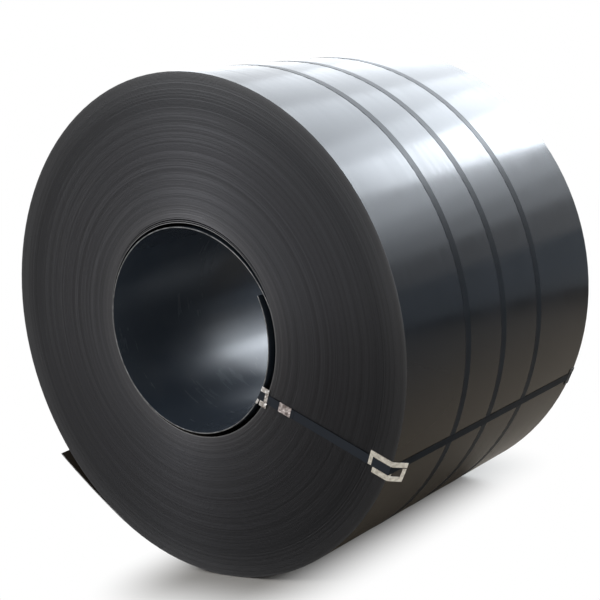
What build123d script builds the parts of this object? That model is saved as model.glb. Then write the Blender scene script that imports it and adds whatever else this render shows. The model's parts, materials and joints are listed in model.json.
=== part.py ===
"""Hot rolled steel coil lying on its side, strapped for shipping.

The coil's axis runs along Y, the end with the strap seal faces -Y, and +Z is up. The origin is on
the ground under the middle of the coil. Lengths are in millimetres and angles in degrees.
Angles round the coil are measured from +X towards +Z, looking along +Y.
"""

import os
from math import asin, atan2, cos, degrees, radians, sin, sqrt

from build123d import *

# Wound strip
COIL_DIAMETER = 1780.0
BORE_DIAMETER = 762.0
STRIP_WIDTH = 1250.0
STRIP_THICKNESS = 4.0
EDGE_CHAMFER = 1.5

# Bands of laps that stand in from the end faces: outer radius of each band and its inset
SEAT_BAND_OUTER = 100.0
SEAT_BAND_INNER = 46.0
BAND_COUNT = 3
BAND_INSET = 2.0
BAND_INSET_SWING = 1.0
BAND_SWING_STEP = 137.5

# Innermost lap, sprung loose into the bore
LAP_SLACK = 17.0
LAP_SEATED_ANGLE = -170.0
LAP_SEATED_BITE = 2.0
LAP_TIP_ANGLE = 17.0
LAP_ROUND_ARC = 280.0
LAP_MERGE_ARC = 88.0
LAP_TRAIL_ARC = 52.0
LAP_TRAIL_GAP = 13.0

# Lifted corner of the outermost lap, on the end that faces -Y
TAIL_ROOT_ANGLE = -128.0
TAIL_TIP_ANGLE = -150.3
TAIL_LIFT = 51.0
TAIL_BURIED = 0.5
TAIL_STRAP_GAP = 10.0

# Steel strapping
STRAP_WIDTH = 32.0
STRAP_THICKNESS = 0.8
SEAT_GAP = 0.1
RING_STRAP_1_STATION = 366.0
RING_STRAP_2_STATION = 600.0
RING_STRAP_3_STATION = 851.0
RING_SEAL_ANGLE = 140.0
STRAP_BEND_LEG = 6.5

# Eye strap: its line on the end face passes beside the coil's axis
EYE_LINE_ANGLE = -27.1
EYE_LINE_OFFSET = 80.5
EYE_SEAL_CLEAR = 51.0
STRAP_OVERLAP = 74.0
STRAP_JOG = 14.0

# Seals crimped over the strap ends
SEAL_LENGTH = 50.0
SEAL_SHEET = 0.8
SEAL_NIPS = 2
SEAL_NIP_RADIUS = 3.0
SEAL_NIP_DEPTH = 0.6
NIP_CUTTER_LENGTH = 16.0

# Corner guards under the eye strap
GUARD_SHEET = 0.7
GUARD_BEND = 2.0
GUARD_WINDOW_CLEAR = 4.0
GUARD_RAIL_WIDTH = 17.0
GUARD_HOOK_WIDTH = 13.0
GUARD_HOOK_SLIT = 4.0
GUARD_HOOK_SHEET = 0.8
RIM_GUARD_FACE_LEG = 80.0
RIM_GUARD_SETBACK = 20.0
RIM_GUARD_WEB_LEG = 20.0
BORE_GUARD_FACE_LEG = 38.0
BORE_GUARD_BORE_LEG = 70.0

# Barrel legs of the rim guards: the front one has sprung open, the back one lies closed
FRONT_LEG_LENGTH = 48.0
FRONT_LEG_BEND = 8.0
FRONT_LEG_SPLAY = 32.0
BACK_LEG_LENGTH = 30.0
BACK_LEG_SPLAY = 0.0

FULL_TURN = 360.0
QUARTER_TURN = FULL_TURN / 4

# Values that follow from the ones above
COIL_RADIUS = COIL_DIAMETER / 2
BORE_RADIUS = BORE_DIAMETER / 2
LAP_INNER_RADIUS = BORE_RADIUS - LAP_SLACK
HALF_WIDTH = STRIP_WIDTH / 2
AXIS_HEIGHT = COIL_RADIUS + SEAT_GAP + STRAP_THICKNESS
LAP_OFFSET = LAP_SLACK - LAP_SEATED_BITE
LAP_X = LAP_OFFSET * cos(radians(LAP_SEATED_ANGLE))
LAP_Z = LAP_OFFSET * sin(radians(LAP_SEATED_ANGLE))
GUARD_WINDOW = STRAP_WIDTH + GUARD_WINDOW_CLEAR
GUARD_WIDTH = GUARD_WINDOW + 2 * GUARD_RAIL_WIDTH
FACE_STANDOFF = SEAT_GAP + GUARD_SHEET + SEAT_GAP
BARREL_STANDOFF = SEAT_GAP + max(GUARD_SHEET, STRAP_THICKNESS) + SEAT_GAP
HOOK_LIFT = STRAP_THICKNESS + SEAT_GAP
FACE_RAIL_HEIGHT = FACE_STANDOFF - SEAT_GAP + HOOK_LIFT + GUARD_HOOK_SHEET
BARREL_RAIL_HEIGHT = BARREL_STANDOFF - SEAT_GAP + HOOK_LIFT + GUARD_HOOK_SHEET
RING_STRAP_STATIONS = (RING_STRAP_1_STATION, RING_STRAP_2_STATION, RING_STRAP_3_STATION)
EYE_ALONG = Vector(cos(radians(EYE_LINE_ANGLE)), 0, sin(radians(EYE_LINE_ANGLE)))
EYE_ACROSS = Vector(-EYE_ALONG.Z, 0, EYE_ALONG.X)


def polar(radius, angle):
    """Point of the X-Z plane at this radius and angle, as the sketch plane's (x, y)."""
    return (radius * cos(radians(angle)), radius * sin(radians(angle)))


def eye_station(radius):
    """Distance along the eye strap's line at which it is this far from the coil's axis."""
    return sqrt(radius**2 - EYE_LINE_OFFSET**2)


def eye_point(station):
    """Point of the eye strap's centre line, on the plane through the coil's middle."""
    return EYE_ALONG * station - EYE_ACROSS * EYE_LINE_OFFSET


def end_plane(y=0.0):
    """Sketch plane across the coil's axis: its x is +X, its y is +Z and it faces -Y."""
    return Plane(origin=(0, y, 0), x_dir=(1, 0, 0), z_dir=(0, -1, 0))


def turned(profile, angle, arc):
    """Turn a profile drawn with radius along X and the coil's axis along Y, centred on an angle."""
    solid = revolve(Plane.XY * profile, Axis.Y, arc)
    return Rot(0, -angle - arc / 2, 0) * solid


def arc_of(width, radius):
    """Angle that a width takes up at a radius."""
    return degrees(width / radius)


def band_profile():
    """Half section of the wound body: bore, chamfered rim and the stepped bands of its ends."""
    inner = BORE_RADIUS + SEAT_BAND_INNER
    outer = COIL_RADIUS - SEAT_BAND_OUTER
    step = (outer - inner) / BAND_COUNT
    points = [(BORE_RADIUS, 0), (BORE_RADIUS, -HALF_WIDTH), (inner, -HALF_WIDTH)]
    for band in range(BAND_COUNT):
        inset = BAND_INSET + BAND_INSET_SWING * sin(radians(BAND_SWING_STEP * band))
        points.append((inner + step * band, inset - HALF_WIDTH))
        points.append((inner + step * (band + 1), inset - HALF_WIDTH))
    points += [
        (outer, -HALF_WIDTH),
        (COIL_RADIUS - EDGE_CHAMFER, -HALF_WIDTH),
        (COIL_RADIUS, EDGE_CHAMFER - HALF_WIDTH),
        (COIL_RADIUS, 0),
    ]
    return make_face(Polyline(*points, close=True))


def loose_lap():
    """Innermost lap: a round arc off the coil's centre, then a wider arc that runs into the body."""
    centre = Vector(LAP_X, LAP_Z)
    round_end = LAP_TIP_ANGLE - LAP_ROUND_ARC
    trail_end = round_end - LAP_TRAIL_ARC
    merge_end = round_end - LAP_MERGE_ARC

    def on_lap(radius, angle):
        return centre + Vector(*polar(radius, angle))

    def lap_line(offset):
        radius = LAP_INNER_RADIUS + offset
        middle = LAP_TIP_ANGLE - LAP_ROUND_ARC / 2
        arc = ThreePointArc(on_lap(radius, LAP_TIP_ANGLE), on_lap(radius, middle), on_lap(radius, round_end))
        trail = polar(BORE_RADIUS - STRIP_THICKNESS - LAP_TRAIL_GAP + offset, trail_end)
        return [arc, ThreePointArc(arc @ 1, trail, polar(BORE_RADIUS + offset, merge_end))]

    inner_line = lap_line(0)
    outer_line = lap_line(STRIP_THICKNESS)
    tip = Line(inner_line[0] @ 0, outer_line[0] @ 0)
    root = Line(inner_line[1] @ 1, outer_line[1] @ 1)
    outline = Curve() + inner_line + outer_line + [tip, root]
    return extrude(end_plane() * make_face(outline), HALF_WIDTH, both=True)


def tail_section(lift, y):
    """Section of the outermost lap's end at one station, lifted by this much at its tip."""
    steps = 4
    outer_points = []
    inner_points = []
    for step in range(steps + 1):
        share = step / steps
        angle = TAIL_ROOT_ANGLE + share * (TAIL_TIP_ANGLE - TAIL_ROOT_ANGLE)
        radius = COIL_RADIUS - TAIL_BURIED + lift * share**2
        outer_points.append(polar(radius, angle))
        inner_points.append(polar(radius - STRIP_THICKNESS, angle))
    outer_line = Spline(*outer_points)
    inner_line = Spline(*inner_points)
    root = Line(outer_points[0], inner_points[0])
    tip = Line(outer_points[-1], inner_points[-1])
    return end_plane(y) * make_face(Curve() + [outer_line, inner_line, root, tip])


def loose_tail():
    """Corner of the outermost lap that stands off the barrel between the end and the first strap."""
    near = -HALF_WIDTH
    far = near + RING_STRAP_1_STATION - STRAP_WIDTH / 2 - TAIL_STRAP_GAP
    return loft([tail_section(TAIL_LIFT + TAIL_BURIED, near), tail_section(0, far)], ruled=True)


def lap_edge_cutter():
    """What the chamfer takes off the loose lap's inner edge on the end that faces -Y."""
    corner = (LAP_INNER_RADIUS - EDGE_CHAMFER, -HALF_WIDTH - EDGE_CHAMFER)
    along = (LAP_INNER_RADIUS - EDGE_CHAMFER, 2 * EDGE_CHAMFER - HALF_WIDTH)
    across = (LAP_INNER_RADIUS + 2 * EDGE_CHAMFER, -HALF_WIDTH - EDGE_CHAMFER)
    return in_bore(turned(make_face(Polyline(corner, along, across, close=True)), 0, FULL_TURN))


def coil_roll():
    """The wound strip, one turned solid with its bore, its loose inner lap and its lifted corner."""
    half = revolve(Plane.XY * band_profile(), Axis.Y, FULL_TURN)
    body = half + mirror(half, Plane.XZ)
    cutter = lap_edge_cutter()
    lap = loose_lap() - cutter - mirror(cutter, Plane.XZ)
    return body + lap + loose_tail()


def ring_strap(station):
    """Strap round the barrel: one layer most of the way, two where its ends lap at the seal."""
    inner = COIL_RADIUS + SEAT_GAP
    single = inner + STRAP_THICKNESS
    double = single + STRAP_THICKNESS
    lap_arc = arc_of(STRAP_OVERLAP, COIL_RADIUS)
    low = RING_SEAL_ANGLE - lap_arc / 2
    high = RING_SEAL_ANGLE + lap_arc / 2
    far_side = RING_SEAL_ANGLE + FULL_TURN / 2
    outline = [
        ThreePointArc(polar(single, high), polar(single, far_side), polar(single, low + FULL_TURN)),
        Line(polar(single, low), polar(double, low)),
        ThreePointArc(polar(double, low), polar(double, RING_SEAL_ANGLE), polar(double, high)),
        Line(polar(double, high), polar(single, high)),
    ]
    section = make_face(Curve() + outline) - Circle(inner)
    return extrude(end_plane(station - HALF_WIDTH) * section, STRAP_WIDTH / 2, both=True)


def ring_seal(station):
    """Seal folded over the two layers of a ring strap."""
    y = station - HALF_WIDTH
    bottom = COIL_RADIUS + SEAT_GAP
    top = bottom + 2 * STRAP_THICKNESS + SEAT_GAP
    width = STRAP_WIDTH + 2 * SEAT_GAP
    outside = Pos((bottom + top + SEAL_SHEET) / 2, y) * Rectangle(
        top + SEAL_SHEET - bottom, width + 2 * SEAL_SHEET
    )
    inside = Pos((bottom + top) / 2, y) * Rectangle(top - bottom, width)
    arc = arc_of(SEAL_LENGTH, COIL_RADIUS)
    seal = turned(outside - inside, RING_SEAL_ANGLE, arc)
    for nip in range(SEAL_NIPS):
        along = arc * ((nip + 0.5) / SEAL_NIPS - 0.5)
        for side in (-1, 1):
            edge = y + side * (width / 2 + SEAL_SHEET + SEAL_NIP_RADIUS - SEAL_NIP_DEPTH)
            cutter = Rot(0, 90, 0) * Cylinder(SEAL_NIP_RADIUS, NIP_CUTTER_LENGTH)
            seal -= Rot(0, -RING_SEAL_ANGLE - along, 0) * Pos(top, edge, 0) * cutter
    return seal


def corner_profile(corner, face, leg, run, thickness, bend):
    """Half of a band bent round a corner, drawn with radius along X and the coil's axis along Y.

    The band's inner face lies at radius corner and at face along the axis. Its leg on the end face
    is leg long, outwards from the corner where leg is positive, and its run goes on to the y of run.
    """
    side = 1 if leg > 0 else -1
    start = corner + leg
    hub = (corner + side * bend, face + bend)
    reach = bend + thickness
    lines = [
        Line((start, face), (hub[0], face)),
        RadiusArc((hub[0], face), (corner, hub[1]), side * bend),
        Line((corner, hub[1]), (corner, run)),
        Line((corner, run), (corner - side * thickness, run)),
        Line((corner - side * thickness, run), (corner - side * thickness, hub[1])),
        RadiusArc((corner - side * thickness, hub[1]), (hub[0], hub[1] - reach), -side * reach),
        Line((hub[0], hub[1] - reach), (start, face - thickness)),
        Line((start, face - thickness), (start, face)),
    ]
    return make_face(Curve() + lines)


def face_slab(start, end, offset, width, level, thickness):
    """Flat bar on the end that faces -Y, along the eye strap's line between two stations.

    The offset is that of the bar's centre line across the strap, and the level is the height of its
    underside over the end face.
    """
    centre = eye_point((start + end) / 2) + EYE_ACROSS * offset
    y = -HALF_WIDTH - level - thickness / 2
    slab = Box(end - start, width, thickness)
    plane = Plane(origin=(centre.X, y, centre.Z), x_dir=EYE_ALONG, z_dir=(0, -1, 0))
    return plane.location * slab


def lap_angle(station):
    """Angle round the loose lap's own centre of a point of the eye strap's line."""
    point = eye_point(station)
    return degrees(atan2(point.Z - LAP_Z, point.X - LAP_X))


def rim_angle():
    """Angle round the coil at which the eye strap crosses the rim."""
    return EYE_LINE_ANGLE - degrees(asin(EYE_LINE_OFFSET / COIL_RADIUS))


def bore_station():
    """Distance along the eye strap's line at which it reaches the loose lap's inner face."""
    across = EYE_ACROSS * -EYE_LINE_OFFSET - Vector(LAP_X, 0, LAP_Z)
    along = across.dot(EYE_ALONG)
    return sqrt(LAP_INNER_RADIUS**2 - across.length**2 + along**2) - along


def seal_station():
    """Distance along the eye strap's line of the seal's middle, clear of the bore guard's hook."""
    return bore_station() + BORE_GUARD_FACE_LEG + EYE_SEAL_CLEAR + SEAL_LENGTH / 2


def in_bore(solid):
    """Move what was turned about the coil's axis to the loose lap's own axis."""
    return Pos(LAP_X, 0, LAP_Z) * solid


def eye_strap():
    """Strap through the eye: bore, end faces and barrel, with its ends lapped at the seal."""
    level = FACE_STANDOFF
    face = -HALF_WIDTH - level
    bend = GUARD_BEND + GUARD_SHEET + SEAT_GAP
    bore_wall = LAP_INNER_RADIUS - FACE_STANDOFF
    barrel_wall = COIL_RADIUS + BARREL_STANDOFF
    bore_half = corner_profile(bore_wall, face, bend + STRAP_BEND_LEG, 0, STRAP_THICKNESS, bend)
    barrel_half = corner_profile(barrel_wall, face, -bend - STRAP_BEND_LEG, 0, STRAP_THICKNESS, bend)
    bore_part = in_bore(turned(bore_half, lap_angle(bore_station()), arc_of(STRAP_WIDTH, bore_wall)))
    barrel_part = turned(barrel_half, rim_angle(), arc_of(STRAP_WIDTH, barrel_wall))
    ends = bore_part + barrel_part

    tilt_in = abs(lap_angle(bore_station()) - EYE_LINE_ANGLE)
    tilt_out = abs(rim_angle() - EYE_LINE_ANGLE)
    start = bore_station() + bend + STRAP_WIDTH / 2 * sin(radians(tilt_in))
    end = eye_station(COIL_RADIUS) - bend - STRAP_WIDTH / 2 * sin(radians(tilt_out))
    far_run = mirror(face_slab(start, end, 0, STRAP_WIDTH, level, STRAP_THICKNESS), Plane.XZ)

    seal = seal_station()
    under = face_slab(seal - STRAP_OVERLAP / 2, end, 0, STRAP_WIDTH, level, STRAP_THICKNESS)
    over = over_end(start, seal)
    return ends + mirror(ends, Plane.XZ) + far_run + under + over


def over_end(start, seal):
    """The strap's outer end: along the face from the bore, up one thickness and over the other end."""
    rise = STRAP_THICKNESS + SEAT_GAP
    jog_end = seal - STRAP_OVERLAP / 2 - STRAP_JOG / 2
    line = [(start, 0), (jog_end - STRAP_JOG, 0), (jog_end, rise), (seal + STRAP_OVERLAP / 2, rise)]
    back = [(x, y + STRAP_THICKNESS) for x, y in reversed(line)]
    profile = make_face(Polyline(*line, *back, close=True))
    origin = eye_point(0)
    plane = Plane(
        origin=(origin.X, -HALF_WIDTH - FACE_STANDOFF, origin.Z),
        x_dir=EYE_ALONG,
        z_dir=EYE_ALONG.cross(Vector(0, -1, 0)),
    )
    return extrude(plane * profile, STRAP_WIDTH / 2, both=True)


def eye_seal():
    """Seal sleeved over the two layers of the eye strap and nipped at its edges."""
    seal = seal_station()
    inner_height = 2 * STRAP_THICKNESS + 3 * SEAT_GAP
    inner_width = STRAP_WIDTH + 2 * SEAT_GAP
    inner_level = FACE_STANDOFF - SEAT_GAP
    start = seal - SEAL_LENGTH / 2
    end = seal + SEAL_LENGTH / 2
    sleeve = face_slab(
        start,
        end,
        0,
        inner_width + 2 * SEAL_SHEET,
        inner_level - SEAL_SHEET,
        inner_height + 2 * SEAL_SHEET,
    )
    sleeve -= face_slab(start - 1, end + 1, 0, inner_width, inner_level, inner_height)
    for nip in range(SEAL_NIPS):
        station = start + SEAL_LENGTH * (nip + 0.5) / SEAL_NIPS
        for side in (-1, 1):
            reach = inner_width / 2 + SEAL_SHEET + SEAL_NIP_RADIUS - SEAL_NIP_DEPTH
            centre = eye_point(station) + EYE_ACROSS * (side * reach)
            cutter = Rot(90, 0, 0) * Cylinder(SEAL_NIP_RADIUS, NIP_CUTTER_LENGTH)
            sleeve -= Pos(centre.X, -HALF_WIDTH - inner_level, centre.Z) * cutter
    return sleeve


def rail_offsets():
    """Distances of the guard's two rails from the strap's centre line: the upper and the lower."""
    reach = (GUARD_WINDOW + GUARD_RAIL_WIDTH) / 2
    return (reach, -reach)


def face_hook(end, outwards):
    """Bar across the strap at the end of a guard's face leg, slit free of the lower rail."""
    start = end - GUARD_HOOK_WIDTH if outwards else end
    width = GUARD_WINDOW + GUARD_RAIL_WIDTH / 2 - GUARD_HOOK_SLIT
    offset = GUARD_WIDTH / 2 - GUARD_RAIL_WIDTH / 2 - width / 2
    level = FACE_STANDOFF + HOOK_LIFT
    return face_slab(start, start + GUARD_HOOK_WIDTH, offset, width, level, GUARD_HOOK_SHEET)


def leg_point(bend, splay, along, height):
    """Point of a rim guard's barrel leg: this far past its bend, this high over its inner face."""
    turn = radians(QUARTER_TURN - splay)
    reach = bend + height
    radius = COIL_RADIUS + SEAT_GAP - GUARD_BEND + reach * sin(turn) + along * cos(turn)
    return (radius, -HALF_WIDTH - SEAT_GAP + bend - reach * cos(turn) + along * sin(turn))


def rim_rail_profile(bend, splay, length):
    """Side of a rim guard's rail: a short way on the end face, round the rim and along its leg."""
    face = -HALF_WIDTH - SEAT_GAP
    hub = (COIL_RADIUS + SEAT_GAP - GUARD_BEND, face + bend)
    start = hub[0] - STRAP_BEND_LEG
    top = face - BARREL_RAIL_HEIGHT
    inner_end = leg_point(bend, splay, length, 0)
    outer_end = leg_point(bend, splay, length, BARREL_RAIL_HEIGHT)
    lines = [
        Line((start, top), (start, face)),
        Line((start, face), (hub[0], face)),
        CenterArc(hub, bend, -QUARTER_TURN, QUARTER_TURN - splay),
        Line(leg_point(bend, splay, 0, 0), inner_end),
        Line(inner_end, outer_end),
        Line(outer_end, leg_point(bend, splay, 0, BARREL_RAIL_HEIGHT)),
        CenterArc(hub, bend + BARREL_RAIL_HEIGHT, -QUARTER_TURN, QUARTER_TURN - splay),
        Line((hub[0], top), (start, top)),
    ]
    return make_face(Curve() + lines)


def leg_hook(bend, splay, length):
    """Bar across the strap's line at the end of a barrel leg, slit free of the upper rail."""
    under = BARREL_RAIL_HEIGHT - GUARD_HOOK_SHEET
    corners = [
        leg_point(bend, splay, length, under),
        leg_point(bend, splay, length, BARREL_RAIL_HEIGHT),
        leg_point(bend, splay, length - GUARD_HOOK_WIDTH, BARREL_RAIL_HEIGHT),
        leg_point(bend, splay, length - GUARD_HOOK_WIDTH, under),
    ]
    bar = make_face(Polyline(*corners, close=True))
    width = GUARD_WINDOW + GUARD_RAIL_WIDTH / 2 - GUARD_HOOK_SLIT
    offset = -GUARD_WIDTH / 2 + GUARD_RAIL_WIDTH / 2 + width / 2
    return turned(bar, rim_angle() + arc_of(offset, COIL_RADIUS), arc_of(width, COIL_RADIUS))


def rim_guard(bend, splay, length):
    """Corner guard over the rim: web under the strap, two rails beside it and a hook on each leg."""
    face = -HALF_WIDTH - SEAT_GAP
    wall = COIL_RADIUS + SEAT_GAP
    short_leg = -GUARD_BEND - STRAP_BEND_LEG
    web = corner_profile(wall, face, short_leg, RIM_GUARD_WEB_LEG - HALF_WIDTH, GUARD_SHEET, GUARD_BEND)
    guard = turned(web, rim_angle(), arc_of(GUARD_WINDOW + GUARD_RAIL_WIDTH, wall))
    end = eye_station(COIL_RADIUS) - GUARD_BEND - GUARD_WIDTH / 2 * sin(
        radians(EYE_LINE_ANGLE - rim_angle())
    )
    start = eye_station(COIL_RADIUS) - RIM_GUARD_FACE_LEG
    guard += face_slab(start + RIM_GUARD_SETBACK, end, 0, GUARD_WIDTH, SEAT_GAP, GUARD_SHEET)
    rail = rim_rail_profile(bend, splay, length)
    for offset, setback in zip(rail_offsets(), (0, RIM_GUARD_SETBACK)):
        angle = rim_angle() + arc_of(offset, wall)
        guard += turned(rail, angle, arc_of(GUARD_RAIL_WIDTH, wall))
        guard += face_slab(start + setback, end, offset, GUARD_RAIL_WIDTH, SEAT_GAP, FACE_RAIL_HEIGHT)
    return guard + face_hook(start, False) + leg_hook(bend, splay, length)


def bore_guard():
    """Corner guard over the bore's edge: thin in the bore, with rails and a hook on the end face."""
    face = -HALF_WIDTH - SEAT_GAP
    wall = LAP_INNER_RADIUS - SEAT_GAP
    run = -HALF_WIDTH + BORE_GUARD_BORE_LEG
    angle = lap_angle(bore_station())
    base = corner_profile(wall, face, GUARD_BEND + STRAP_BEND_LEG, run, GUARD_SHEET, GUARD_BEND)
    guard = in_bore(turned(base, angle, arc_of(GUARD_WIDTH, wall)))
    start = bore_station() + GUARD_BEND + GUARD_WIDTH / 2 * sin(radians(EYE_LINE_ANGLE - angle))
    end = bore_station() + BORE_GUARD_FACE_LEG
    guard += face_slab(start, end, 0, GUARD_WIDTH, SEAT_GAP, GUARD_SHEET)
    for offset in rail_offsets():
        guard += face_slab(start, end, offset, GUARD_RAIL_WIDTH, SEAT_GAP, FACE_RAIL_HEIGHT)
    return guard + face_hook(end, True)


def save(shape, node):
    """Write one piece, lifted so that the coil stands on the ground plane."""
    export_step(Pos(0, 0, AXIS_HEIGHT) * shape, f"parts/{node}.step")


os.makedirs("parts", exist_ok=True)
save(coil_roll(), "coil_roll")
for number, station in enumerate(RING_STRAP_STATIONS, start=1):
    save(ring_strap(station), f"ring_strap_{number}")
    save(ring_seal(station), f"ring_seal_{number}")
save(eye_strap(), "eye_strap")
save(eye_seal(), "eye_seal")
save(rim_guard(FRONT_LEG_BEND, FRONT_LEG_SPLAY, FRONT_LEG_LENGTH), "rim_guard_front")
save(mirror(rim_guard(GUARD_BEND, BACK_LEG_SPLAY, BACK_LEG_LENGTH), Plane.XZ), "rim_guard_back")
save(bore_guard(), "bore_guard_front")
save(mirror(bore_guard(), Plane.XZ), "bore_guard_back")
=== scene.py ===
"""Looks of a hot rolled steel coil on its side, strapped for shipping.

Everything is in metres, with the coil's axis along Y, the strapped end facing -Y and +Z up. Angles
round the coil are in degrees, measured from +X towards +Z, looking along +Y. A turn counts the
strip's turns from where the loose inner lap joins the wound body, so turns grow as angles fall.
"""

import json
from math import atan2, cos, degrees, floor, hypot, pi, radians, sin

import bpy
import numpy as np
from mathutils import Matrix, Vector

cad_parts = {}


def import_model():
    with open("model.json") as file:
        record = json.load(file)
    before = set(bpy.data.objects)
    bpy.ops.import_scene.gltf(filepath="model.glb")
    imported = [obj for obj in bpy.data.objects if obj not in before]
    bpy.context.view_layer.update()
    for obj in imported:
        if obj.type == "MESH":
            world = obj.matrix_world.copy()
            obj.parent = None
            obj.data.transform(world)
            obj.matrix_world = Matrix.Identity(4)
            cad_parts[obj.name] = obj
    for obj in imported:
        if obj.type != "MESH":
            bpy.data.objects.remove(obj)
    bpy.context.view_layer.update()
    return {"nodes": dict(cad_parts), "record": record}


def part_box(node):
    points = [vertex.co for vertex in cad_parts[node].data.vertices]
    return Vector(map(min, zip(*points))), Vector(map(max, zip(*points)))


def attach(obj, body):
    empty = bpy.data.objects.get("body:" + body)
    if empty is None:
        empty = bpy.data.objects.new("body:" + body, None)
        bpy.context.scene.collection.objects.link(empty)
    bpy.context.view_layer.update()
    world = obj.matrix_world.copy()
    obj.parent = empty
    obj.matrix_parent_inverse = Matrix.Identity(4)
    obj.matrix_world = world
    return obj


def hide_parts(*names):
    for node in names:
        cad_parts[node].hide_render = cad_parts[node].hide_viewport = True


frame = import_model()

# The coil's body, from the frame
COIL_LOW, COIL_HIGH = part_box("coil_roll")
COIL_RADIUS = (COIL_HIGH[2] - COIL_LOW[2]) / 2
AXIS_HEIGHT = (COIL_HIGH[2] + COIL_LOW[2]) / 2
HALF_WIDTH = (COIL_HIGH[1] - COIL_LOW[1]) / 2
EYE_MOUNT = frame["record"]["mounts"][0]
LAP_RADIUS = EYE_MOUNT["dims"]["r_mm"] / 1000
LAP_X = EYE_MOUNT["pos_m"][0]
LAP_Z = EYE_MOUNT["pos_m"][2]

# The strip and its winding: the barrel settles round over its last turns but for a step at the
# strip's tip, and the first few turns spring inwards between two angles
BORE_RADIUS = 0.381
STRIP_THICKNESS = 0.004
BARREL_RISE = 0.0003
SETTLED_TURNS = 30
STEP_SHARE = 0.12
SPRUNG_TURNS = 4
SPRUNG_REACH = 0.0105
SPRUNG_FROM_ANGLE = 8.0
SPRUNG_TO_ANGLE = 150.0

# The loose inner lap: its tip, its round arc, a place on the arc that trails off, and its join
LAP_TIP_ANGLE = 17.0
LAP_ROUND_ARC = 280.0
LAP_TRAIL_ARC = 52.0
LAP_TRAIL_GAP = 0.013
LAP_MERGE_ARC = 88.0
LAP_MERGE_ANGLE = LAP_TIP_ANGLE - LAP_ROUND_ARC - LAP_MERGE_ARC + 360.0
LAP_ROUND_STEPS = 130
LAP_TRAIL_STEPS = 44
LAP_ROWS = 16
LAP_ROUNDING = 0.0009

# The outermost lap's tail: its front corner lifts from the root angle to the tip
TAIL_ROOT_ANGLE = -128.0
TAIL_TIP_ANGLE = -150.3
TAIL_LIFT = 0.051
TAIL_LENGTH = 0.340
TAIL_INSET = 0.0002
TAIL_SEAT_GAP = 0.0001
TAIL_STEPS = 16
TAIL_ROWS = 30
TAIL_ROUNDING = 0.0008

# How finely the wound body is meshed, and the grooves between its laps on the ends
SHARP_ANGLE = 30.0
TURN_STEPS = 112
EDGE_STEPS = 3
BARREL_ROWS = 60
BORE_ROWS = 24
EDGE_ROUNDING = 0.0012
GROOVE_DEPTH = 0.0004
GROOVE_SHARE = 0.17
GROOVE_SPREAD = 3

# Unevenness of the laps' edges on the ends, with a seed for each end, and of the barrel
NOISE_CELLS = 4096
NOISE_GRID = 64
EDGE_SEEDS = {-1: 11, 1: 12}
EDGE_INSET = 0.0012
EDGE_INSET_MOST = 0.003
GROUP_DEPTH = 0.0004
GROUP_LENGTH = 0.024
DRIFT_DEPTH = 0.0004
DRIFT_LENGTH = 0.085
ALONG_DEPTH = 0.00015
ALONG_PER_TURN = 1.7
SINGLE_DEPTH = 0.00015
SINGLE_STRIDE = 7.31
WAVE_SEED = 31
WAVES_ROUND = 14
WAVE_LENGTH = 0.21
WAVE_DEPTH = 0.00012

# Materials: tones from dark to light, and where noise starts and ends to count
SCALE_TONES = ((0.004, 0.007, 0.011), (0.008, 0.011, 0.016))
# The loose lap's scale, lighter than the barrel's: painted light for what reaches into the bore
BORE_LIGHTENED_TONES = ((0.034, 0.044, 0.060), (0.050, 0.060, 0.074))
# Sheared steel, made lighter still as a painted highlight for the glint along the strip's edges
CUT_AND_GLINT_TONES = ((0.12, 0.122, 0.125), (0.31, 0.315, 0.32))
RING_TONES = ((0.85, 0.85, 0.85), (1.15, 1.15, 1.15))
STRAP_TONES = ((0.009, 0.011, 0.014), (0.013, 0.016, 0.020))
SEAL_TONES = ((0.30, 0.25, 0.24), (0.85, 0.76, 0.74))
GUARD_TONES = ((0.66, 0.60, 0.50), (0.98, 0.91, 0.78))
GLINT_TONES = ((0.50, 0.46, 0.43), (1.0, 0.98, 0.96))
# A dark copy of the guards' metal for the guards away from the front: painted shade
SHADED_GUARD_TONES = ((0.03, 0.03, 0.028), (0.06, 0.057, 0.052))
# Lighter colours for the straps' faces that face along the axis: painted light on their shaded
# sides
RING_STRAP_LIT_SIDE = (0.10, 0.105, 0.115)
EYE_STRAP_LIT_SIDE = (0.038, 0.043, 0.052)
SOFT_SPREAD = (0.3, 0.7)
CUT_SPREAD = (0.35, 0.65)
GUARD_SPREAD = (0.38, 0.62)
STREAKS_ROUND = 9.0
STREAKS_PER_METRE = 38.0
# Warm brown mixed into the scale low on the barrel, between these heights: painted reflection of
# the ground
GROUND_REFLECTION_COLOUR = (0.040, 0.033, 0.025)
GROUND_REFLECTION_HEIGHTS = (0.90, 0.40)
DENT_DEPTH = 0.004
EDGE_SLOT = 1
SIDE_FACING = 0.5

# The end faces: tone by distance from the axis, partly painted highlight, and painted shade by
# height
# Lighter at the first lap past the bore, near the bore and at the rim: partly painted highlight on
# the laps' edges
END_TONES = (
    (0.3842, (0.22, 0.22, 0.225)),
    (0.3856, (0.084, 0.084, 0.090)),
    (0.46, (0.056, 0.057, 0.063)),
    (0.62, (0.0405, 0.041, 0.046)),
    (0.80, (0.037, 0.038, 0.042)),
    (0.86, (0.056, 0.057, 0.061)),
    (0.89, (0.082, 0.083, 0.087)),
)
# Darker towards the ground: painted shade
END_LOW_SHADE = ((0.0, (0.66, 0.66, 0.67)), (0.9, (1.0, 1.0, 1.0)))

# Camera, found from the picture: place, aim, roll and lens
CAMERA_PLACE = (3.0427, -3.7140, 1.4545)
CAMERA_AZIMUTH = 41.92
CAMERA_ELEVATION = 5.71
CAMERA_ROLL = -9.75
PICTURE_SIZE = 600
FOCAL_PIXELS = 1257.6
CENTRE_PIXEL = (240, 284)
SENSOR_WIDTH = 36.0

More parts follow.
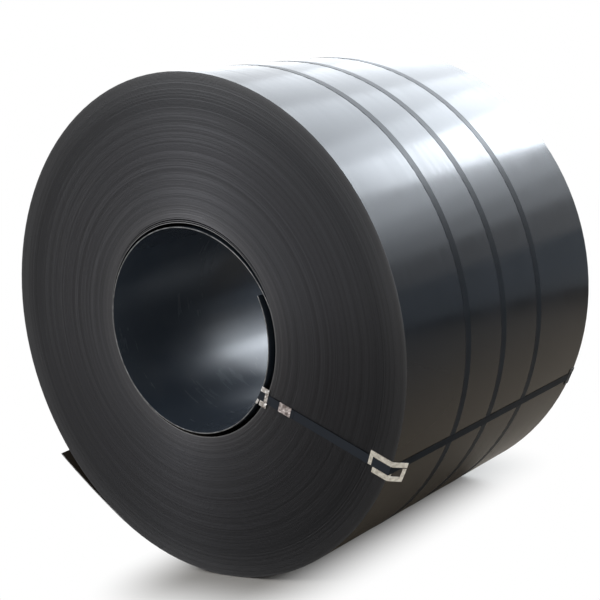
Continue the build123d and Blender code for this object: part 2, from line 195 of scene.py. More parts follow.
# Stage: the world, the floor and how it fades, the board behind the coil and the lit wall
WHITE = (1.0, 1.0, 1.0)
MATT = 0.9
WORLD_COLOUR = (0.93, 0.96, 1.0)
WORLD_STRENGTH = 0.3
FLOOR_HALF = 30.0
FLOOR_COLOUR = (0.52, 0.50, 0.47)
FLOOR_MIRRORED = (0.22, 0.187, 0.15)
CONTACT_HALF = 0.12
FLOOR_FADES = {"Is Camera Ray": (0.0, 0.45), "Is Glossy Ray": (5.0, 12.0)}
SKIRT_PLACE = 3.2
SKIRT_HALF = 9.0
SKIRT_HEIGHT = 0.95
SKIRT_COLOUR = (0.54, 0.56, 0.59)
SKIRT_GLOW_COLOUR = (0.82, 0.92, 1.0)
SKIRT_GLOW = 0.22
WALL_PLACE = 6.0
WALL_LAYER = 0.05
WALL_COLOUR = (0.85, 0.92, 1.0)
KEY_PIVOT = (3.27, 4.14)
KEY_TILT = 36.0


def polar(radius, angle):
    """Point (x, z) at this radius and angle."""
    return radius * cos(radians(angle)), radius * sin(radians(angle))


def eased(share):
    """A share from 0 to 1 that starts and ends gently."""
    return share * share * (3 - 2 * share)


def smooth_noise(values, seed):
    """Smooth repeatable noise from -1 to 1 over an array of positions."""
    cells = np.floor(values).astype(np.int64)
    share = eased(values - cells)
    table = np.random.default_rng(seed).uniform(-1, 1, NOISE_CELLS)
    return table[cells % NOISE_CELLS] * (1 - share) + table[(cells + 1) % NOISE_CELLS] * share


def smooth_noise_2d(across, along, seed):
    """Smooth repeatable noise from -1 to 1 over two arrays of positions."""
    cell_a = np.floor(across).astype(np.int64)
    cell_b = np.floor(along).astype(np.int64)
    share_a = eased(across - cell_a)
    share_b = eased(along - cell_b)
    table = np.random.default_rng(seed).uniform(-1, 1, (NOISE_GRID, NOISE_GRID))

    def pick(a, b):
        return table[a % NOISE_GRID, b % NOISE_GRID]

    low = pick(cell_a, cell_b) * (1 - share_a) + pick(cell_a + 1, cell_b) * share_a
    high = pick(cell_a, cell_b + 1) * (1 - share_a) + pick(cell_a + 1, cell_b + 1) * share_a
    return low * (1 - share_b) + high * share_b


def add_mesh(name, vertices, faces):
    """A smooth shaded mesh object that keeps its sharp edges."""
    mesh = bpy.data.meshes.new(name)
    mesh.from_pydata([tuple(v) for v in vertices], [], faces)
    mesh.validate()
    mesh.update()
    mesh.shade_smooth()
    mesh.set_sharp_from_angle(angle=radians(SHARP_ANGLE))
    piece = bpy.data.objects.new(name, mesh)
    bpy.context.scene.collection.objects.link(piece)
    return piece


# The wound body


def part_turn(angle):
    """Share of a turn from where the loose lap joins to this angle."""
    return (LAP_MERGE_ANGLE - angle) / 360


def angle_at(turn):
    """Angle of the strip at this turn."""
    return LAP_MERGE_ANGLE - 360 * turn


def strip_pitch():
    """Radial growth of the strip in one turn, so that its tip ends at the barrel, and its turns."""
    turns = part_turn(TAIL_TIP_ANGLE)
    wound = COIL_RADIUS + BARREL_RISE - BORE_RADIUS
    whole = round(wound / STRIP_THICKNESS - 1 - turns)
    return wound / (whole + turns + 1), whole


PITCH, WHOLE_TURNS = strip_pitch()
TIP_TURN = WHOLE_TURNS + part_turn(TAIL_TIP_ANGLE)
LAST_SAMPLE = WHOLE_TURNS * TURN_STEPS + floor(part_turn(TAIL_ROOT_ANGLE) * TURN_STEPS)


def edge_inset(turn, side):
    """How far the strip's edge stands in from one end face, at an array of turns."""
    seed = EDGE_SEEDS[side]
    radius = BORE_RADIUS + PITCH * turn
    groups = GROUP_DEPTH * smooth_noise(radius / GROUP_LENGTH, seed)
    drift = DRIFT_DEPTH * smooth_noise(radius / DRIFT_LENGTH, seed + 1)
    along = ALONG_DEPTH * smooth_noise(turn * ALONG_PER_TURN, seed + 2)
    single = SINGLE_DEPTH * smooth_noise(np.floor(turn) * SINGLE_STRIDE, seed + 3)
    return np.clip(EDGE_INSET + groups + drift + along + single, 0.0, EDGE_INSET_MOST)


def barrel_dip(angle, y):
    """How far the strip's slight waves leave the barrel under its full radius."""
    around = angle / 360 * WAVES_ROUND
    across = (y + HALF_WIDTH) / WAVE_LENGTH
    return WAVE_DEPTH * (1 + smooth_noise_2d(around, across, WAVE_SEED))


def lap_radius(turn):
    """Inner radius of the strip at an array of turns.

    The first few laps spring inwards, and the last ones settle, so that the barrel is round but for
    the step at the strip's tip.
    """
    before_tip = TIP_TURN + 1 - turn
    round_share = before_tip % 1
    step = np.clip((round_share - 1 + STEP_SHARE) / STEP_SHARE, 0, 1)
    settle = PITCH * round_share * (1 - eased(step))
    settle = settle * np.clip(1 - before_tip / SETTLED_TURNS, 0, 1)
    angle = angle_at(turn) % 360
    share = np.clip((angle - SPRUNG_FROM_ANGLE) / (SPRUNG_TO_ANGLE - SPRUNG_FROM_ANGLE), 0, 1)
    reach = SPRUNG_REACH * np.clip(1 - turn / SPRUNG_TURNS, 0, 1)
    return BORE_RADIUS + PITCH * turn + settle - reach * np.sin(pi * share) ** 2


def wound_body():
    """The wound strip as one closed body: both ends lap by lap, the barrel and the bore."""
    turn = np.arange(LAST_SAMPLE + 1) / TURN_STEPS
    angle = np.radians(angle_at(turn))
    inner = lap_radius(turn)
    width = lap_radius(turn + 1) - inner
    opening = GROOVE_SHARE * PITCH + (width - PITCH) / 2
    places = (0.0, opening, width - opening)
    depths = (GROOVE_DEPTH + GROOVE_SPREAD * np.maximum(width - PITCH, 0), 0.0, 0.0)
    vertices = []
    faces = []

    def end_vertices(side):
        """Vertices across the strip's edge at each sample of one end; gives the first's number."""
        inset = edge_inset(turn, side)
        rows = np.empty((LAST_SAMPLE + 1, EDGE_STEPS, 3))
        for step in range(EDGE_STEPS):
            radius = inner + places[step]
            rows[:, step, 0] = radius * np.cos(angle)
            rows[:, step, 1] = side * (HALF_WIDTH - inset - depths[step])
            rows[:, step, 2] = AXIS_HEIGHT + radius * np.sin(angle)
        first = len(vertices)
        vertices.extend(rows.reshape(-1, 3))
        return first

    def edge_vertex(s, side):
        """The outermost lap's outer edge, rounded over from the end face to the barrel."""
        x, z = polar(lap_radius(turn[s] + 1), angle_at(turn[s]))
        inset = float(edge_inset(np.array(turn[s]), side))
        vertices.append((x, side * (HALF_WIDTH - inset - EDGE_ROUNDING), z + AXIS_HEIGHT))
        return len(vertices) - 1

    front = end_vertices(-1)
    back = end_vertices(1)
    last_lap = LAST_SAMPLE - TURN_STEPS
    outer_edge = {base: {last_lap: base + LAST_SAMPLE * EDGE_STEPS} for base in (front, back)}
    for s in range(last_lap + 1, LAST_SAMPLE + 1):
        outer_edge[front][s] = edge_vertex(s, -1)
        outer_edge[back][s] = edge_vertex(s, 1)

    def vertex(base, s, step):
        """Vertex across a lap, where the last step is the next lap's first."""
        if step < EDGE_STEPS:
            return base + s * EDGE_STEPS + step
        if s + TURN_STEPS <= LAST_SAMPLE:
            return base + (s + TURN_STEPS) * EDGE_STEPS
        return outer_edge[base][s]

    def lap_edges(s):
        """The strip's edge at one sample of both ends, without its innermost vertex."""
        return [[vertex(base, s, step) for step in range(1, EDGE_STEPS)] for base in (front, back)]

    def wall_columns(samples, rows, radius_of):
        """Vertices between the two ends at each sample, without the ends' own."""
        columns = []
        for s in samples:
            column = []
            for row in range(1, rows):
                y = -HALF_WIDTH + 2 * HALF_WIDTH * row / rows
                x, z = polar(radius_of(s, y), angle_at(turn[s]))
                column.append(len(vertices))
                vertices.append((x, y, z + AXIS_HEIGHT))
            columns.append(column)
        return columns

    def barrel_radius(s, y):
        dip = float(barrel_dip(np.array(angle_at(turn[s])), np.array(y)))
        return lap_radius(turn[s] + 1) - dip

    for base in (front, back):
        for s in range(LAST_SAMPLE):
            for step in range(EDGE_STEPS):
                quad = (
                    vertex(base, s, step),
                    vertex(base, s, step + 1),
                    vertex(base, s + 1, step + 1),
                    vertex(base, s + 1, step),
                )
                faces.append(quad[::-1] if base == front else quad)

    samples = range(last_lap, LAST_SAMPLE + 1)
    middles = wall_columns(samples, BARREL_ROWS, barrel_radius)
    columns = [
        [outer_edge[front][s], *middle, outer_edge[back][s]] for s, middle in zip(samples, middles)
    ]
    outside = wall_faces(columns) + step_faces(columns[0], columns[-1], *lap_edges(LAST_SAMPLE))
    faces.extend(face[::-1] for face in outside)

    samples = range(TURN_STEPS + 1)
    middles = wall_columns(samples, BORE_ROWS, lambda s, y: inner[s])
    columns = [
        [vertex(front, s, 0), *middle, vertex(back, s, 0)] for s, middle in zip(samples, middles)
    ]
    faces.extend(wall_faces(columns))
    faces.extend(step_faces(columns[0], columns[-1], *lap_edges(0)))
    return add_mesh("wound_body", vertices, faces)


def wall_faces(columns):
    """Quads between neighbouring columns of vertices that run from the front to the back."""
    return [
        (a[row], a[row + 1], b[row + 1], b[row])
        for a, b in zip(columns, columns[1:])
        for row in range(len(a) - 1)
    ]


def step_faces(low, high, front_edge, back_edge):
    """The strip's end face between two columns, with the strip's edges at both ends."""
    faces = [(low[0], *front_edge, high[0], high[1], low[1])]
    faces += [(low[row], high[row], high[row + 1], low[row + 1]) for row in range(1, len(low) - 2)]
    faces.append((low[-2], high[-2], high[-1], *reversed(back_edge), low[-1]))
    return faces


# Loose sheets: the sprung inner lap and the lifted tail


def circle_through(first, second, third):
    """Centre and radius of the circle through three points."""
    rows = np.array([np.subtract(second, first), np.subtract(third, first)])
    centre = np.array(first) + np.linalg.solve(2 * rows, (rows**2).sum(axis=1))
    return centre, hypot(*(centre - first))


def lap_path():
    """Points (x, z) and inward normals along the loose lap, from its tip to where it joins."""
    points = []
    normals = []

    def follow(centre, radius, start, arc, steps):
        for angle in np.linspace(start, start - arc, steps, endpoint=False):
            outward = np.array(polar(1, angle))
            points.append(centre + radius * outward)
            normals.append(-outward)

    round_centre = np.array((LAP_X, LAP_Z - AXIS_HEIGHT))
    round_end = LAP_TIP_ANGLE - LAP_ROUND_ARC
    leave = round_centre + np.array(polar(LAP_RADIUS, round_end))
    trail_reach = BORE_RADIUS - STRIP_THICKNESS - LAP_TRAIL_GAP
    trail = np.array(polar(trail_reach, round_end - LAP_TRAIL_ARC))
    join = np.array(polar(BORE_RADIUS, LAP_MERGE_ANGLE))
    trail_centre, trail_radius = circle_through(leave, trail, join)
    first = degrees(atan2(*(leave - trail_centre)[::-1]))
    last = degrees(atan2(*(join - trail_centre)[::-1]))
    follow(round_centre, LAP_RADIUS, LAP_TIP_ANGLE, LAP_ROUND_ARC, LAP_ROUND_STEPS)
    follow(trail_centre, trail_radius, first, (first - last) % 360, LAP_TRAIL_STEPS)
    points.append(join)
    normals.append(-np.array(polar(1, last)))
    return points, normals


def sheet_body(name, rings):
    """A closed sheet from rings of vertices, one ring round its section at each station.

    The quads that close its first and last section take the edge's material.
    """
    count = len(rings[0])
    vertices = [v for ring in rings for v in ring]
    faces = []
    for ring in range(len(rings) - 1):
        for i in range(count):
            j = (i + 1) % count
            a = ring * count
            b = a + count
            faces.append((a + j, b + j, b + i, a + i))
    last = (len(rings) - 1) * count
    caps = [(i, i + 1, count - 2 - i, count - 1 - i) for i in range(count // 2 - 1)]
    faces += [cap[::-1] for cap in caps]
    faces += [tuple(last + corner for corner in cap) for cap in caps]
    piece = add_mesh(name, vertices, faces)
    for polygon in piece.data.polygons[-2 * len(caps) :]:
        polygon.material_index = EDGE_SLOT
    return piece


def loose_lap():
    """The innermost lap, sprung off the wound body into the bore."""
    inner = [(-HALF_WIDTH, LAP_ROUNDING), (-HALF_WIDTH + LAP_ROUNDING, 0)]
    inner += [(-HALF_WIDTH + 2 * HALF_WIDTH * row / LAP_ROWS, 0) for row in range(1, LAP_ROWS)]
    inner += [(HALF_WIDTH - LAP_ROUNDING, 0), (HALF_WIDTH, LAP_ROUNDING)]
    section = inner + [(y, STRIP_THICKNESS - depth) for y, depth in reversed(inner)]
    rings = []
    for point, normal in zip(*lap_path()):
        ring = []
        for y, depth in section:
            x, z = point - normal * depth
            ring.append((x, y, z + AXIS_HEIGHT))
        rings.append(ring)
    return sheet_body("loose_lap", rings)


def loose_tail():
    """The outermost lap's end, with its corner at the front lifted off the barrel."""
    start = LAP_MERGE_ANGLE - 360 * LAST_SAMPLE / TURN_STEPS + 360 * WHOLE_TURNS
    width = 2 * HALF_WIDTH
    stations = [0.0, TAIL_ROUNDING] + [width * row / TAIL_ROWS for row in range(1, TAIL_ROWS)]
    stations += [width - TAIL_ROUNDING, width]
    rings = []
    for step in range(TAIL_STEPS + 1):
        angle = start + (TAIL_TIP_ANGLE - start) * step / TAIL_STEPS
        share = max(0.0, (TAIL_ROOT_ANGLE - angle) / (TAIL_ROOT_ANGLE - TAIL_TIP_ANGLE))
        base = lap_radius(WHOLE_TURNS + part_turn(angle) + 1)
        top = []
        under = []
        for station in stations:
            lift = TAIL_LIFT * max(0.0, 1 - station / TAIL_LENGTH) * share**2
            edge = TAIL_ROUNDING if station in (0.0, width) else 0.0
            y = max(-HALF_WIDTH + TAIL_INSET, min(HALF_WIDTH - TAIL_INSET, station - HALF_WIDTH))
            top.append((*polar(base + lift - edge, angle), y))
            under.append((*polar(base + lift - PITCH + edge + TAIL_SEAT_GAP, angle), y))
        rings.append([(x, y, z + AXIS_HEIGHT) for x, z, y in under + top[::-1]])
    return sheet_body("loose_tail", rings)


# Materials


def new_material(name):
    """A node material with its nodes, its links and its shader."""
    material = bpy.data.materials.new(name)
    material.use_nodes = True
    nodes = material.node_tree.nodes
    return material, nodes, material.node_tree.links, nodes["Principled BSDF"]


def add_node(nodes, kind, **values):
    """A node with properties by name, and inputs by name with spaces as underscores."""
    node = nodes.new(kind)
    for key, value in values.items():
        if hasattr(node, key):
            setattr(node, key, value)
        else:
            node.inputs[key.replace("_", " ")].default_value = value
    return node


def object_place(nodes):
    """Socket of the position on the object."""
    return nodes.new("ShaderNodeTexCoord").outputs["Object"]


def split_vector(nodes, links, vector):
    """Sockets of a vector's X, Y and Z."""
    split = nodes.new("ShaderNodeSeparateXYZ")
    links.new(vector, split.inputs[0])
    return split.outputs["X"], split.outputs["Y"], split.outputs["Z"]


def math_node(nodes, links, operation, *terms):
    """A Math node whose terms are sockets or numbers; gives its output."""
    node = nodes.new("ShaderNodeMath")
    node.operation = operation
    for slot, term in enumerate(terms):
        if isinstance(term, (int, float)):
            node.inputs[slot].default_value = term
        else:
            links.new(term, node.inputs[slot])
    return node.outputs[0]


def distance(nodes, links, a, b):
    """Socket of the length of a vector with these two parts."""
    square_a = math_node(nodes, links, "MULTIPLY", a, a)
    square_b = math_node(nodes, links, "MULTIPLY", b, b)
    return math_node(nodes, links, "SQRT", math_node(nodes, links, "ADD", square_a, square_b))


def map_range(nodes, links, source, reach, result=(0.0, 1.0), kind="LINEAR"):
    """A socket's reach mapped to a result, and held at its two ends; gives the output."""
    node = nodes.new("ShaderNodeMapRange")
    node.interpolation_type = kind
    links.new(source, node.inputs["Value"])
    for ends, (low, high) in (("From", reach), ("To", result)):
        node.inputs[ends + " Min"].default_value = low
        node.inputs[ends + " Max"].default_value = high
    return node.outputs[0]


def ramp(nodes, links, source, stops):
    """A colour ramp over a socket; stops are (place, colour)."""
    node = nodes.new("ShaderNodeValToRGB")
    elements = node.color_ramp.elements
    while len(elements) < len(stops):
        elements.new(0.5)
    for element, (place, colour) in zip(elements, stops):
        element.position = place
        element.color = (*colour, 1.0)
    links.new(source, node.inputs[0])
    return node.outputs[0]


def mix_colour(nodes, links, share, first, second, blend="MIX"):
    """A colour mix whose terms are sockets or values; gives its output."""
    node = nodes.new("ShaderNodeMix")
    node.data_type = "RGBA"
    node.blend_type = blend
    for slot, term in ((0, share), (6, first), (7, second)):
        if isinstance(term, (int, float)):
            node.inputs[slot].default_value = term
        elif isinstance(term, tuple):
            node.inputs[slot].default_value = (*term, 1.0)
        else:
            links.new(term, node.inputs[slot])
    return node.outputs[2]


def noise_level(nodes, links, place, **values):
    """Socket of a noise over a position."""
    noise = add_node(nodes, "ShaderNodeTexNoise", **values)
    links.new(place, noise.inputs["Vector"])
    return noise.outputs["Fac"]


def mill_scale(name, tones, roughness, ior, streak_depth, ground_reflection):
    """Hot rolled strip's faces: dark scale, with its tone and its gloss in clouds.

    Fine streaks in the gloss run round the coil; a brown mix low on it is painted ground
    reflection.
    """
    material, nodes, links, shader = new_material(name)
    place = object_place(nodes)
    x, y, z = split_vector(nodes, links, place)
    clouds = noise_level(nodes, links, place, Scale=3.0, Detail=5.0, Roughness=0.6)
    scale = ramp(nodes, links, clouds, list(zip(SOFT_SPREAD, tones)))
    # low on the barrel a warm brown is mixed in: painted reflection of the ground
    low_down = map_range(nodes, links, z, GROUND_REFLECTION_HEIGHTS, kind="SMOOTHSTEP")
    reflected_ground = math_node(nodes, links, "MULTIPLY", low_down, ground_reflection)
    links.new(mix_colour(nodes, links, reflected_ground, scale, GROUND_REFLECTION_COLOUR), shader.inputs["Base Color"])
    above_axis = math_node(nodes, links, "SUBTRACT", z, AXIS_HEIGHT)
    angle = math_node(nodes, links, "ARCTAN2", above_axis, x)
    turns = math_node(nodes, links, "DIVIDE", angle, 2 * pi)
    stretch = nodes.new("ShaderNodeCombineXYZ")
    links.new(math_node(nodes, links, "MULTIPLY", turns, STREAKS_ROUND), stretch.inputs["X"])
    links.new(math_node(nodes, links, "MULTIPLY", y, STREAKS_PER_METRE), stretch.inputs["Y"])
    streaks = noise_level(
        nodes, links, stretch.outputs[0], Scale=1.0, Detail=5.0, Roughness=0.65
    )
    cloudy = map_range(nodes, links, clouds, SOFT_SPREAD, roughness)
    streaked = map_range(
        nodes, links, streaks, SOFT_SPREAD, (1 - streak_depth, 1 + streak_depth)
    )
    both = math_node(nodes, links, "MULTIPLY", cloudy, streaked)
    links.new(both, shader.inputs["Roughness"])
    shader.inputs["IOR"].default_value = ior
    return material


def cut_edge():
    """The strip's sheared edge: brighter steel, mottled, lighter still as a painted highlight of
    its glint.
    """
    material, nodes, links, shader = new_material("cut_edge")
    clouds = noise_level(nodes, links, object_place(nodes), Scale=60.0, Detail=3.0)
    # lighter tones: bare steel plus painted highlight
    colour = ramp(nodes, links, clouds, list(zip(CUT_SPREAD, CUT_AND_GLINT_TONES)))
    links.new(colour, shader.inputs["Base Color"])
    shader.inputs["Metallic"].default_value = 0.5
    shader.inputs["Roughness"].default_value = 0.45
    return material


def strip_edges():
    """The laps' edges on the end faces: charcoal with faint rings, brushed round the coil.

    Lighter near the bore and the rim, partly painted highlight; painted shade darkens them low
    down.
    """
    material, nodes, links, shader = new_material("strip_edges")
    x, y, z = split_vector(nodes, links, object_place(nodes))
    above_axis = math_node(nodes, links, "SUBTRACT", z, AXIS_HEIGHT)
    radius = distance(nodes, links, x, above_axis)
    ring_noise = add_node(
        nodes, "ShaderNodeTexNoise", noise_dimensions="1D", Scale=60.0, Detail=2.0, Roughness=0.7
    )
    links.new(radius, ring_noise.inputs["W"])
    rings = ramp(nodes, links, ring_noise.outputs["Fac"], list(zip(SOFT_SPREAD, RING_TONES)))
    # tone by radius, with painted highlight near the bore and at the rim
    tone = ramp(nodes, links, radius, END_TONES)
    # darker towards the ground: painted shade
    low_shade = ramp(nodes, links, z, END_LOW_SHADE)
    ringed = mix_colour(nodes, links, 1.0, tone, rings, "MULTIPLY")
    colour = mix_colour(nodes, links, 1.0, ringed, low_shade, "MULTIPLY")
    links.new(colour, shader.inputs["Base Color"])
    tangent = add_node(nodes, "ShaderNodeTangent", direction_type="RADIAL", axis="Y")
    links.new(tangent.outputs[0], shader.inputs["Tangent"])
    shader.inputs["Metallic"].default_value = 0.7
    shader.inputs["Roughness"].default_value = 0.5
    shader.inputs["Anisotropic"].default_value = 0.6
    shader.inputs["Anisotropic Rotation"].default_value = 0.25
    return material


def strap_paint(name, lit_side_colour, ior):
    """Dark painted steel strapping; what faces along the coil's axis gets a lighter colour, painted
    light.
    """
    material, nodes, links, shader = new_material(name)
    coordinates = nodes.new("ShaderNodeTexCoord")
    clouds = noise_level(nodes, links, coordinates.outputs["Object"], Scale=9.0, Detail=4.0)
    paint = ramp(nodes, links, clouds, list(zip(SOFT_SPREAD, STRAP_TONES)))
    x, y, z = split_vector(nodes, links, coordinates.outputs["Normal"])
    along_axis = math_node(nodes, links, "ABSOLUTE", y)
    side = math_node(nodes, links, "GREATER_THAN", along_axis, SIDE_FACING)
    # faces along the axis get the lighter colour: painted light
    links.new(mix_colour(nodes, links, side, paint, lit_side_colour), shader.inputs["Base Color"])
    shader.inputs["Roughness"].default_value = 0.3
    shader.inputs["IOR"].default_value = ior
    return material


def guard_metal(name, tones, metallic, roughness, dents):
    """Steel sheet of the guards and seals, mottled between two tones, with fine dents."""
    material, nodes, links, shader = new_material(name)
    place = object_place(nodes)
    clouds = noise_level(nodes, links, place, Scale=70.0, Detail=4.0)
    colour = ramp(nodes, links, clouds, list(zip(GUARD_SPREAD, tones)))
    links.new(colour, shader.inputs["Base Color"])
    bump = add_node(nodes, "ShaderNodeBump", Strength=dents, Distance=DENT_DEPTH)
    bumps = noise_level(nodes, links, place, Scale=110.0, Detail=2.0)
    links.new(bumps, bump.inputs["Height"])
    links.new(bump.outputs[0], shader.inputs["Normal"])
    shader.inputs["Metallic"].default_value = metallic
    shader.inputs["Roughness"].default_value = roughness
    return material


def assign(piece, material):
    """Put one material on a piece."""
    slots = piece.data.materials
    if len(slots) == 0:
        slots.append(material)
    for index in range(len(slots)):
        slots[index] = material


def paint_by_side(piece, face_material, edge_material):
    """The strip's faces get one material; its sides and its sheared end get the other."""
    mesh = piece.data
    mesh.materials.append(face_material)
    mesh.materials.append(edge_material)
    normals = np.empty(len(mesh.polygons) * 3)
    mesh.polygons.foreach_get("normal", normals)
    index = np.empty(len(mesh.polygons), dtype=np.int32)
    mesh.polygons.foreach_get("material_index", index)
    index[np.abs(normals.reshape(-1, 3)[:, 1]) > SIDE_FACING] = EDGE_SLOT
    mesh.polygons.foreach_set("material_index", index)


def dress_strip():
    """The coil's own strip, as three meshes that stand for its one solid."""
    scale = mill_scale(
        "mill_scale", SCALE_TONES, roughness=(0.14, 0.22), ior=1.27, streak_depth=0.25, ground_reflection=1.0
    )
    # lighter scale for the loose lap in the bore: painted light
    bore = mill_scale(
        "bore_scale", BORE_LIGHTENED_TONES, roughness=(0.2, 0.28), ior=1.36, streak_depth=0.12, ground_reflection=0.0
    )
    edges = strip_edges()
    cut = cut_edge()
    body_piece, lap_piece, tail_piece = wound_body(), loose_lap(), loose_tail()
    paint_by_side(body_piece, scale, edges)
    paint_by_side(lap_piece, bore, cut)
    paint_by_side(tail_piece, scale, cut)
    for piece in (body_piece, lap_piece, tail_piece):
        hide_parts("coil_roll")
        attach(piece, "root")


def dress_nodes():
    """Materials of the straps, seals and guards, whose solids stay as they are."""
    ring = strap_paint("ring_strap_paint", RING_STRAP_LIT_SIDE, ior=1.135)
    eye = strap_paint("eye_strap_paint", EYE_STRAP_LIT_SIDE, ior=1.08)
    seal = guard_metal("seal_metal", SEAL_TONES, metallic=0.6, roughness=0.35, dents=0.9)
    guard = guard_metal("guard_metal", GUARD_TONES, metallic=0.0, roughness=0.5, dents=0.2)
    glint = guard_metal("glint_metal", GLINT_TONES, metallic=0.8, roughness=0.3, dents=0.9)
    # the guards away from the front get a dark copy: painted shade
    shaded_guard = guard_metal(
        "shaded_guard_metal", SHADED_GUARD_TONES, metallic=0.0, roughness=0.6, dents=0.2
    )
    front_guards = {"rim_guard_front": guard, "bore_guard_front": glint}
    for name, node in frame["nodes"].items():
        if "strap" in name:
            assign(node, ring if "ring" in name else eye)
        elif "seal" in name:
            assign(node, seal)
        elif "guard" in name:
            assign(node, front_guards.get(name, shaded_guard))


# Stage


def world():
    """White background for what looks at it, and a softer white on the object."""
    made = bpy.data.worlds.new("studio")
    made.use_nodes = True
    bpy.context.scene.world = made
    nodes = made.node_tree.nodes
    links = made.node_tree.links
    soft = nodes["Background"]
    soft.inputs["Color"].default_value = (*WORLD_COLOUR, 1.0)
    soft.inputs["Strength"].default_value = WORLD_STRENGTH
    seen = nodes.new("ShaderNodeBackground")
    seen.inputs["Color"].default_value = (*WHITE, 1.0)
    seen.inputs["Strength"].default_value = 1.0
    rays = nodes.new("ShaderNodeLightPath").outputs
    shown = math_node(nodes, links, "MAXIMUM", rays["Is Camera Ray"], rays["Is Glossy Ray"])
    shown = math_node(nodes, links, "MAXIMUM", shown, rays["Is Transmission Ray"])
    mix = nodes.new("ShaderNodeMixShader")
    links.new(shown, mix.inputs[0])
    links.new(soft.outputs[0], mix.inputs[1])
    links.new(seen.outputs[0], mix.inputs[2])
    links.new(mix.outputs[0], nodes["World Output"].inputs["Surface"])


def floor_plane():
    """Pale floor that keeps the coil's shadow and fades to the white background away from it."""
    half = FLOOR_HALF
    corners = [(-half, -half, 0), (half, -half, 0), (half, half, 0), (-half, half, 0)]
    plane = add_mesh("floor", corners, [(0, 1, 2, 3)])
    material, nodes, links, shader = new_material("floor_paint")
    shader.inputs["Roughness"].default_value = MATT
    glow = nodes.new("ShaderNodeEmission")
    glow.inputs["Strength"].default_value = 1.0
    x, y, z = split_vector(nodes, links, object_place(nodes))

    def beyond(socket, reach):
        """How far a coordinate lies outside the strip of floor that the coil stands on."""
        size = math_node(nodes, links, "ABSOLUTE", socket)
        past = math_node(nodes, links, "SUBTRACT", size, reach)
        return math_node(nodes, links, "MAXIMUM", past, 0.0)

    away = distance(nodes, links, beyond(x, CONTACT_HALF), beyond(y, HALF_WIDTH))
    rays = nodes.new("ShaderNodeLightPath").outputs
    colour = mix_colour(nodes, links, rays["Is Glossy Ray"], FLOOR_COLOUR, FLOOR_MIRRORED)
    links.new(colour, shader.inputs["Base Color"])
    shares = []
    for ray, reach in FLOOR_FADES.items():
        fade = map_range(nodes, links, away, reach, kind="SMOOTHSTEP")
        shares.append(math_node(nodes, links, "MULTIPLY", rays[ray], fade))
    mix = nodes.new("ShaderNodeMixShader")
    links.new(math_node(nodes, links, "ADD", *shares), mix.inputs[0])
    links.new(shader.outputs[0], mix.inputs[1])
    links.new(glow.outputs[0], mix.inputs[2])
    links.new(mix.outputs[0], nodes["Material Output"].inputs["Surface"])
    plane.data.materials.append(material)


def wall_skirt():
    """Grey board between the coil and the lit wall, for the dark ground that the barrel mirrors.

    The camera doesn't see it.
    """
    foot = [(-SKIRT_HALF, SKIRT_PLACE, 0), (SKIRT_HALF, SKIRT_PLACE, 0)]
    corners = foot + [(x, y, SKIRT_HEIGHT) for x, y, z in reversed(foot)]
    board = add_mesh("wall_skirt", corners, [(0, 1, 2, 3)])
    material, nodes, links, shader = new_material("skirt_paint")
    shader.inputs["Base Color"].default_value = (*SKIRT_COLOUR, 1.0)
    shader.inputs["Roughness"].default_value = MATT
    shader.inputs["Emission Color"].default_value = (*SKIRT_GLOW_COLOUR, 1.0)
    shader.inputs["Emission Strength"].default_value = SKIRT_GLOW
    board.data.materials.append(material)
    board.visible_camera = False


def area_light(name, size, radiance, colour, matrix):
    """A soft rectangular lamp of this brightness, which isn't seen itself."""
    lamp = bpy.data.lights.new(name, "AREA")
    lamp.shape = "RECTANGLE"
    lamp.size, lamp.size_y = size
    lamp.energy = radiance * pi * size[0] * size[1]
    lamp.color = colour
    holder = bpy.data.objects.new(name, lamp)
    holder.matrix_world = matrix
    holder.visible_camera = False
    bpy.context.scene.collection.objects.link(holder)


def aimed_light(name, place, size, radiance):
    """A white lamp that faces the middle of the coil."""
    aim = Vector((0, 0, AXIS_HEIGHT)) - Vector(place)
    turn = aim.to_track_quat("-Z", "Y").to_matrix().to_4x4()
    area_light(name, size, radiance, WHITE, Matrix.Translation(place) @ turn)


def wall_light(name, layer, low, high, radiance, tilt=0.0, pivot=(0.0, 0.0)):
    """A lamp of the lit wall between two corners (x, z), turned by tilt about a pivot.

    Each has a layer of its own, because lamps in one plane would count once in a reflection.
    """
    turn = radians(tilt)
    along = Vector((cos(turn), 0, sin(turn)))
    across = Vector((sin(turn), 0, -cos(turn)))
    middle = ((low[0] + high[0]) / 2, (low[1] + high[1]) / 2)
    place = Vector((pivot[0], WALL_PLACE + layer * WALL_LAYER, pivot[1]))
    place += along * middle[0] - across * middle[1]
    facing = Matrix((along, across, Vector((0, 1, 0)))).transposed().to_4x4()
    size = (high[0] - low[0], high[1] - low[1])
    area_light(name, size, radiance, WALL_COLOUR, Matrix.Translation(place) @ facing)


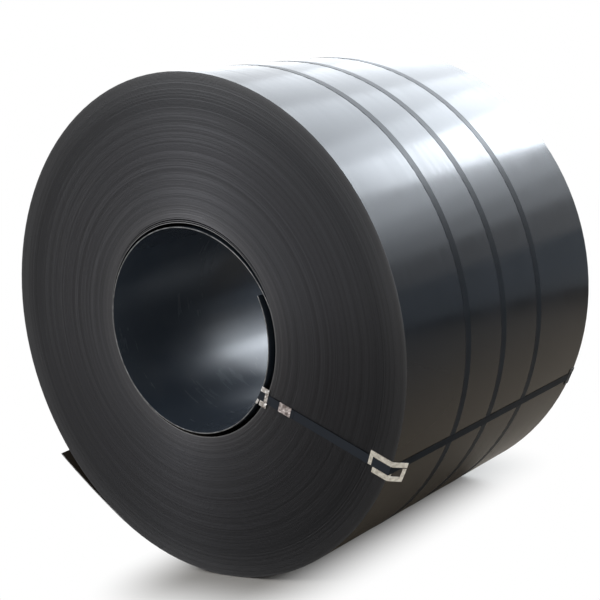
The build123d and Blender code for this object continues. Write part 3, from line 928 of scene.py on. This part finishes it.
def lights():
    """Soft panels in layers behind the coil, a raking lamp on its front end, fills at its sides."""
    key = {"tilt": KEY_TILT, "pivot": KEY_PIVOT}
    wall_light("wall_wash", 0, low=(-7.0, 2.0), high=(6.5, 8.0), radiance=1.6)
    wall_light("wall_fill", 1, low=(-3.2, 2.8), high=(6.5, 8.0), radiance=1.8)
    wall_light("wall_body", 2, low=(-0.8, 3.5), high=(6.5, 7.5), radiance=2.9)
    wall_light("key_wide", 3, low=(-2.2, 0.0), high=(3.5, 2.5), radiance=3.6, **key)
    wall_light("key_edge", 4, low=(-2.2, 0.0), high=(0.7, 1.5), radiance=11.0, **key)
    aimed_light("raking_lamp", place=(-3.4, -5.3, 5.0), size=(2.5, 2.5), radiance=8.8)
    aimed_light("left_fill", place=(-7.0, 0.6, 2.2), size=(6.0, 4.5), radiance=1.8)
    aimed_light("right_fill", place=(7.0, 0.9, 2.2), size=(5.0, 4.5), radiance=1.8)


def camera():
    """The picture's camera: place, aim, roll and lens."""
    azimuth = radians(CAMERA_AZIMUTH)
    elevation = radians(CAMERA_ELEVATION)
    roll = radians(CAMERA_ROLL)
    back = Vector((sin(azimuth) * cos(elevation), -cos(azimuth) * cos(elevation), sin(elevation)))
    level = Vector((cos(azimuth), sin(azimuth), 0))
    upright = back.cross(level)
    right = cos(roll) * level + sin(roll) * upright
    up = cos(roll) * upright - sin(roll) * level
    lens = bpy.data.cameras.new("camera")
    lens.sensor_width = SENSOR_WIDTH
    lens.lens = FOCAL_PIXELS / PICTURE_SIZE * SENSOR_WIDTH
    lens.shift_x = (PICTURE_SIZE / 2 - CENTRE_PIXEL[0]) / PICTURE_SIZE
    lens.shift_y = (CENTRE_PIXEL[1] - PICTURE_SIZE / 2) / PICTURE_SIZE
    holder = bpy.data.objects.new("camera", lens)
    turn = Matrix((right, up, back)).transposed().to_4x4()
    holder.matrix_world = Matrix.Translation(CAMERA_PLACE) @ turn
    bpy.context.scene.collection.objects.link(holder)
    bpy.context.scene.camera = holder


camera()
world()
floor_plane()
wall_skirt()
lights()
dress_strip()
dress_nodes()

bpy.context.scene.view_settings.view_transform = "Standard"
